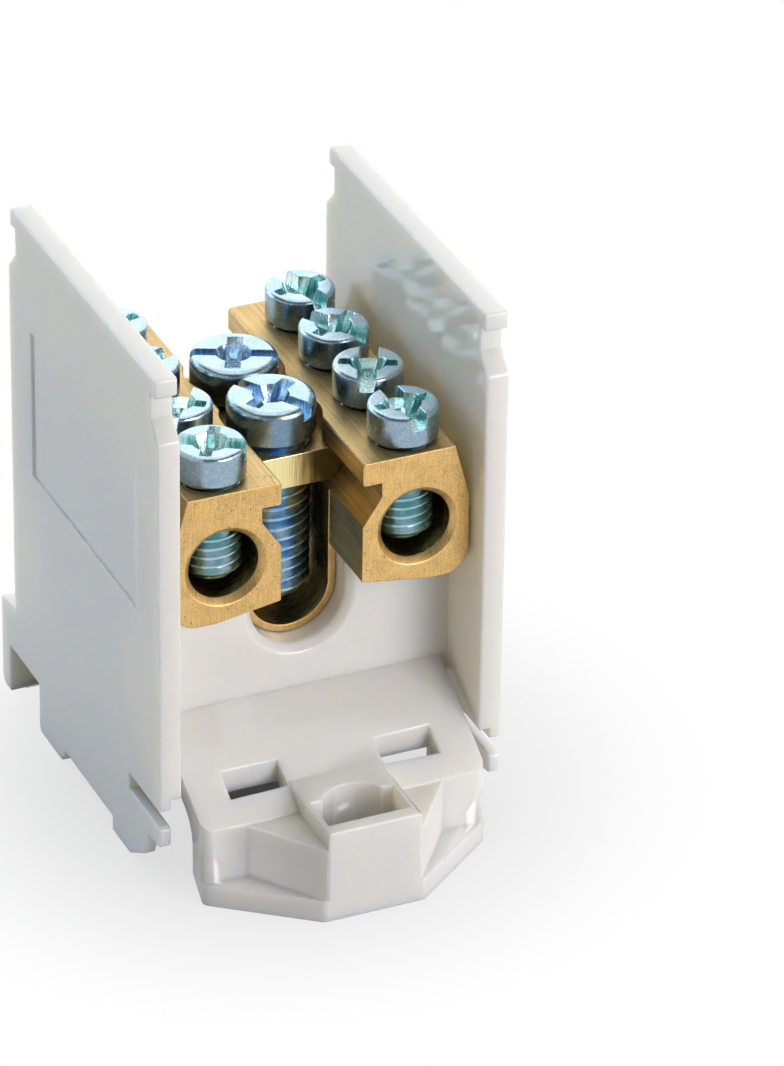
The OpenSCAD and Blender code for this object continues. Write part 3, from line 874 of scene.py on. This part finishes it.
# Each lamp's name, place, width and height in metres, power in watts and colour
LAMPS = (
    ("top_lamp", (0.05, 0.10, 0.80), (0.7, 0.7), 1.9, (1.0, 1.0, 1.0)),
    ("back_lamp", (0.45, 0.95, 0.58), (2.2, 1.2), 12.6, (0.97, 0.98, 1.0)),
    ("right_lamp", (0.85, -0.45, 0.35), (0.5, 0.5), 1.0, (1.0, 1.0, 0.95)),
    ("front_lamp", (0.38, -0.79, 0.32), (0.5, 0.5), 5.4, (1.0, 0.96, 1.0)),
    ("left_lamp", (-0.60, 0.70, 0.30), (0.5, 0.5), 3.0, (0.58, 0.76, 1.0)),
)
LAMP_AIM = Vector((0, 0, 0.04))


def add_lamp(name, place, size, power, colour):
    """A soft rectangular lamp at place, turned to the block."""
    lamp = bpy.data.lights.new(name, "AREA")
    lamp.shape = "RECTANGLE"
    lamp.size, lamp.size_y = size
    lamp.energy = power
    lamp.color = colour
    holder = bpy.data.objects.new(name, lamp)
    holder.location = place
    holder.rotation_euler = (LAMP_AIM - Vector(place)).to_track_quat("-Z", "Y").to_euler()
    bpy.context.scene.collection.objects.link(holder)


class BLOCK_OT_stage(bpy.types.Operator):
    """Sets the camera, the lamps, the floor and the background"""

    bl_idname = "block.stage"
    bl_label = "Stage"

    def execute(self, context):
        settings = context.scene.block_stage
        context.scene.view_settings.view_transform = "Standard"
        self.add_camera(context, settings)
        self.add_floor(context, settings)
        self.add_world(context, settings)
        for lamp in LAMPS:
            add_lamp(*lamp)
        return {"FINISHED"}

    def add_camera(self, context, settings):
        right, up, back = camera_axes(settings)
        camera = bpy.data.cameras.new("photo_camera")
        camera.sensor_fit = "VERTICAL"
        camera.sensor_height = SENSOR_MM
        camera.lens = settings.focal_px * SENSOR_MM / IMAGE_HEIGHT_PX
        camera.clip_start = 0.01
        holder = bpy.data.objects.new("photo_camera", camera)
        turned = Matrix((right, up, back)).transposed().to_4x4()
        place = Vector(settings.target) + back * settings.distance
        holder.matrix_world = Matrix.Translation(place) @ turned
        context.scene.collection.objects.link(holder)
        context.scene.camera = holder

    def add_floor(self, context, settings):
        """A pale floor that shows white, with a little of its own shade close to the block."""
        bm = bmesh.new()
        bmesh.ops.create_grid(bm, x_segments=1, y_segments=1, size=FLOOR_REACH)
        mesh = bpy.data.meshes.new("floor")
        bm.to_mesh(mesh)
        bm.free()
        floor = bpy.data.objects.new("floor", mesh)
        context.scene.collection.objects.link(floor)
        finish = Finish("pale_floor", {"Roughness": 0.9, "Base Color": rgba(settings.floor)})
        paper = finish.node("ShaderNodeEmission", {}, {"Color": (1.0, 1.0, 1.0, 1.0), "Strength": 1.0})
        seen = finish.node("ShaderNodeLightPath", {}, {}, "Is Camera Ray")
        mirrored = finish.node("ShaderNodeLightPath", {}, {}, "Is Glossy Ray")
        through = finish.node("ShaderNodeLightPath", {}, {}, "Is Transmission Ray")
        place = finish.place()
        distance = finish.node("ShaderNodeVectorMath", {"operation": "LENGTH"}, {0: place}, "Value")
        white = 1.0 - settings.floor_shade
        clear = white + settings.floor_shade * finish.ramp(distance, *settings.shade_reach)
        lit = Value(finish, finish.shader.outputs[0])
        shown = finish.node(
            "ShaderNodeMixShader", {}, {0: clear * (seen + mirrored + through), 1: lit, 2: paper}
        )
        finish.feed(finish.tree.nodes["Material Output"].inputs["Surface"], shown)
        mesh.materials.append(finish.material)

    def add_world(self, context, settings):
        """Soft dim light from all round, dimmer overhead."""
        world = bpy.data.worlds.new("studio")
        world.use_nodes = True
        nodes = Nodes(world.node_tree)
        height = nodes.part_of(nodes.place("Generated"), "Z")
        sky = nodes.mix(nodes.ramp(height, 0.0, 0.9), rgba(settings.horizon), rgba(settings.zenith))
        nodes.feed(world.node_tree.nodes["Background"].inputs["Color"], sky)
        context.scene.world = world


class BLOCK_PT_pieces(bpy.types.Panel):
    """Lists the pieces of the block and their settings"""

    bl_label = "Distribution block"
    bl_idname = "BLOCK_PT_pieces"
    bl_space_type = "VIEW_3D"
    bl_region_type = "UI"
    bl_category = "Block"

    def draw(self, context):
        for operator in OPERATORS:
            self.layout.operator(operator.bl_idname)
        for name, group in SETTINGS.items():
            settings = getattr(context.scene, name)
            for setting in group.__annotations__:
                self.layout.prop(settings, setting)


SETTINGS = {
    "block_plastic": PlasticSettings,
    "block_brass": BrassSettings,
    "block_screws": ScrewSettings,
    "block_stage": StageSettings,
}
OPERATORS = (BLOCK_OT_housing, BLOCK_OT_bars, BLOCK_OT_clamp, BLOCK_OT_screws, BLOCK_OT_stage)


def register():
    for group in SETTINGS.values():
        bpy.utils.register_class(group)
    for name, group in SETTINGS.items():
        setattr(bpy.types.Scene, name, PointerProperty(type=group))
    for operator in OPERATORS:
        bpy.utils.register_class(operator)
    bpy.utils.register_class(BLOCK_PT_pieces)


def unregister():
    bpy.utils.unregister_class(BLOCK_PT_pieces)
    for operator in reversed(OPERATORS):
        bpy.utils.unregister_class(operator)
    for name in SETTINGS:
        delattr(bpy.types.Scene, name)
    for group in reversed(SETTINGS.values()):
        bpy.utils.unregister_class(group)


def main():
    register()
    bpy.ops.block.housing()
    bpy.ops.block.bars()
    bpy.ops.block.clamp()
    bpy.ops.block.screws()
    bpy.ops.block.stage()


if __name__ == "__main__":
    main()
